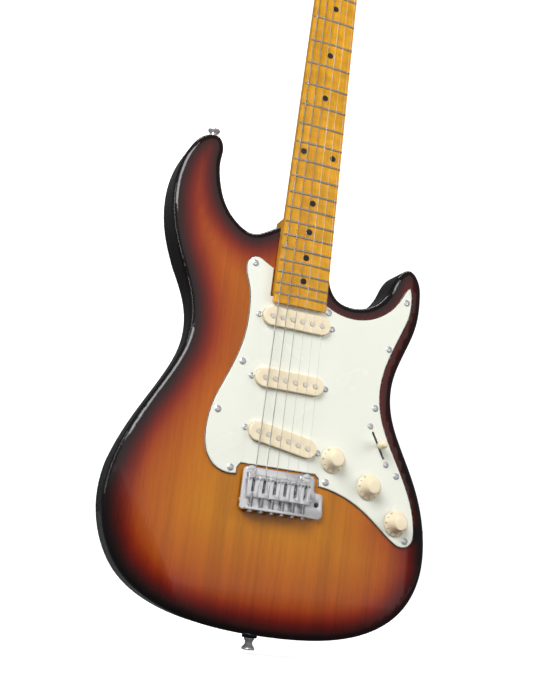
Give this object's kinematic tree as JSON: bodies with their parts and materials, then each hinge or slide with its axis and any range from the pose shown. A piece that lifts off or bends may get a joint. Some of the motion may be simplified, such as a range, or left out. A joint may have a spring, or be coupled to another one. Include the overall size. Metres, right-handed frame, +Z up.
{
  "type": "electric guitar",
  "caption": "Solid-body electric guitar: double-cutaway sunburst body, pickguard, pickups, knobs, lever switch, pivoting tremolo bridge and a bolt-on fretted neck with tuners.",
  "frame": {"origin": "outer end of the end strap button, on the centreline, halfway through the body", "axes": "+Z up the neck, +X towards the treble side, -Y out of the front face"},
  "size_m": [0.3286, 0.0686, 0.9802],
  "materials": {
    "sunburst_wood": "gloss sunburst lacquer over grained wood",
    "maple": "satin amber lacquer",
    "board_maple": "gloss amber lacquer",
    "nickel": "polished",
    "black_inlay": "gloss",
    "bone": "satin",
    "dark_steel": "plain",
    "chrome": "polished chrome",
    "mint_plastic": "gloss three-ply",
    "cream_plastic": "satin moulded",
    "black_fibre": "matt",
    "copper_wire": "enamelled",
    "magnet_steel": "ground",
    "black_rubber": "matt",
    "plated_steel": "plated",
    "lead_cloth": "waxed cloth",
    "cast_block": "as cast, plated",
    "string_steel": "drawn and wound",
    "black_felt": "felt"
  },
  "bodies": {
    "guitar": {"body": "sunburst_wood", "fret_markers": "black_inlay", "fretboard": "board_maple", "frets": "nickel", "hex_nuts": "chrome", "jack_plate": "chrome", "jack_socket": "plated_steel", "long_wood_screws": "chrome", "machine_screws": "chrome", "neck": "maple", "neck_plate": "chrome", "nut": "bone", "pickguard": "mint_plastic", "pickup_bobbins": "black_fibre", "pickup_coils": "copper_wire", "pickup_covers": "cream_plastic", "pickup_tubes": "black_rubber", "pivot_studs": "chrome", "plate_screws": "chrome", "pole_magnets": "magnet_steel", "pots": "plated_steel", "spring_claw": "plated_steel", "spring_cover": "mint_plastic", "strap_button_screws": "chrome", "strap_buttons": "chrome", "strap_felts": "black_felt", "string_trees": "chrome", "strings": "string_steel", "stud_bushings": "plated_steel", "switch_frame": "plated_steel", "tremolo_springs": "plated_steel", "truss_rod": "dark_steel", "tuner_bushings": "chrome", "tuner_housings": "chrome", "wiring": "lead_cloth"},
    "tremolo": {"bridge_plate": "chrome", "tremolo_block": "cast_block", "block_screws": "chrome", "saddles": "chrome", "saddle_height_screws": "plated_steel", "intonation_screws": "plated_steel", "intonation_springs": "plated_steel"},
    "volume_knob": {"volume_knob": "cream_plastic"},
    "neck_tone_knob": {"neck_tone_knob": "cream_plastic"},
    "middle_tone_knob": {"middle_tone_knob": "cream_plastic"},
    "switch": {"switch_lever": "plated_steel", "switch_tip": "cream_plastic"},
    "tuner_button_1": {"tuner_button_1": "chrome"},
    "tuner_post_1": {"tuner_post_1": "chrome"},
    "tuner_button_2": {"tuner_button_2": "chrome"},
    "tuner_post_2": {"tuner_post_2": "chrome"},
    "tuner_button_3": {"tuner_button_3": "chrome"},
    "tuner_post_3": {"tuner_post_3": "chrome"},
    "tuner_button_4": {"tuner_button_4": "chrome"},
    "tuner_post_4": {"tuner_post_4": "chrome"},
    "tuner_button_5": {"tuner_button_5": "chrome"},
    "tuner_post_5": {"tuner_post_5": "chrome"},
    "tuner_button_6": {"tuner_button_6": "chrome"},
    "tuner_post_6": {"tuner_post_6": "chrome"}
  },
  "joints": [
    {"name": "tremolo_pivot", "type": "hinge", "parent": "guitar", "child": "tremolo", "pos_m": [0, -0.027, 0.16025], "axis": [-1, 0, 0], "range_deg": [-2.5, 6.5], "stiffness_Nm_per_rad": 60, "deforming": ["tremolo_springs", "strings"]},
    {"name": "volume_knob_turn", "type": "hinge", "parent": "guitar", "child": "volume_knob", "pos_m": [0.0545, -0.0225, 0.186], "axis": [0, -1, 0], "range_deg": [-270, 0]},
    {"name": "neck_tone_knob_turn", "type": "hinge", "parent": "guitar", "child": "neck_tone_knob", "pos_m": [0.0955, -0.0225, 0.1656], "axis": [0, -1, 0], "range_deg": [-270, 0]},
    {"name": "middle_tone_knob_turn", "type": "hinge", "parent": "guitar", "child": "middle_tone_knob", "pos_m": [0.1282, -0.0225, 0.1343], "axis": [0, -1, 0], "range_deg": [-270, 0]},
    {"name": "switch_flip", "type": "hinge", "parent": "guitar", "child": "switch", "pos_m": [0.1017, -0.0025, 0.2077], "axis": [-0.8643, 0, -0.503], "range_deg": [-21, 21]},
    {"name": "tuner_button_1_turn", "type": "hinge", "parent": "guitar", "child": "tuner_button_1", "pos_m": [-0.019, -0.0059, 0.8401], "axis": [-1, 0, 0], "continuous": true},
    {"name": "tuner_post_1_turn", "type": "hinge", "parent": "guitar", "child": "tuner_post_1", "pos_m": [-0.019, -0.0225, 0.8325], "axis": [0, -1, 0], "continuous": true},
    {"name": "tuner_button_2_turn", "type": "hinge", "parent": "guitar", "child": "tuner_button_2", "pos_m": [-0.0134, -0.0059, 0.8656], "axis": [-1, 0, 0], "continuous": true},
    {"name": "tuner_post_2_turn", "type": "hinge", "parent": "guitar", "child": "tuner_post_2", "pos_m": [-0.0134, -0.0225, 0.858], "axis": [0, -1, 0], "continuous": true},
    {"name": "tuner_button_3_turn", "type": "hinge", "parent": "guitar", "child": "tuner_button_3", "pos_m": [-0.0078, -0.0059, 0.8911], "axis": [-1, 0, 0], "continuous": true},
    {"name": "tuner_post_3_turn", "type": "hinge", "parent": "guitar", "child": "tuner_post_3", "pos_m": [-0.0078, -0.0225, 0.8835], "axis": [0, -1, 0], "continuous": true},
    {"name": "tuner_button_4_turn", "type": "hinge", "parent": "guitar", "child": "tuner_button_4", "pos_m": [-0.0022, -0.0059, 0.9166], "axis": [-1, 0, 0], "continuous": true},
    {"name": "tuner_post_4_turn", "type": "hinge", "parent": "guitar", "child": "tuner_post_4", "pos_m": [-0.0022, -0.0225, 0.909], "axis": [0, -1, 0], "continuous": true},
    {"name": "tuner_button_5_turn", "type": "hinge", "parent": "guitar", "child": "tuner_button_5", "pos_m": [0.0034, -0.0059, 0.9421], "axis": [-1, 0, 0], "continuous": true},
    {"name": "tuner_post_5_turn", "type": "hinge", "parent": "guitar", "child": "tuner_post_5", "pos_m": [0.0034, -0.0225, 0.9345], "axis": [0, -1, 0], "continuous": true},
    {"name": "tuner_button_6_turn", "type": "hinge", "parent": "guitar", "child": "tuner_button_6", "pos_m": [0.009, -0.0059, 0.9676], "axis": [-1, 0, 0], "continuous": true},
    {"name": "tuner_post_6_turn", "type": "hinge", "parent": "guitar", "child": "tuner_post_6", "pos_m": [0.009, -0.0225, 0.96], "axis": [0, -1, 0], "continuous": true}
  ],
  "couplings": [
    {"joint": "tuner_post_1_turn", "follows": "tuner_button_1_turn", "ratio": -0.066667},
    {"joint": "tuner_post_2_turn", "follows": "tuner_button_2_turn", "ratio": -0.066667},
    {"joint": "tuner_post_3_turn", "follows": "tuner_button_3_turn", "ratio": -0.066667},
    {"joint": "tuner_post_4_turn", "follows": "tuner_button_4_turn", "ratio": -0.066667},
    {"joint": "tuner_post_5_turn", "follows": "tuner_button_5_turn", "ratio": -0.066667},
    {"joint": "tuner_post_6_turn", "follows": "tuner_button_6_turn", "ratio": -0.066667}
  ]
}
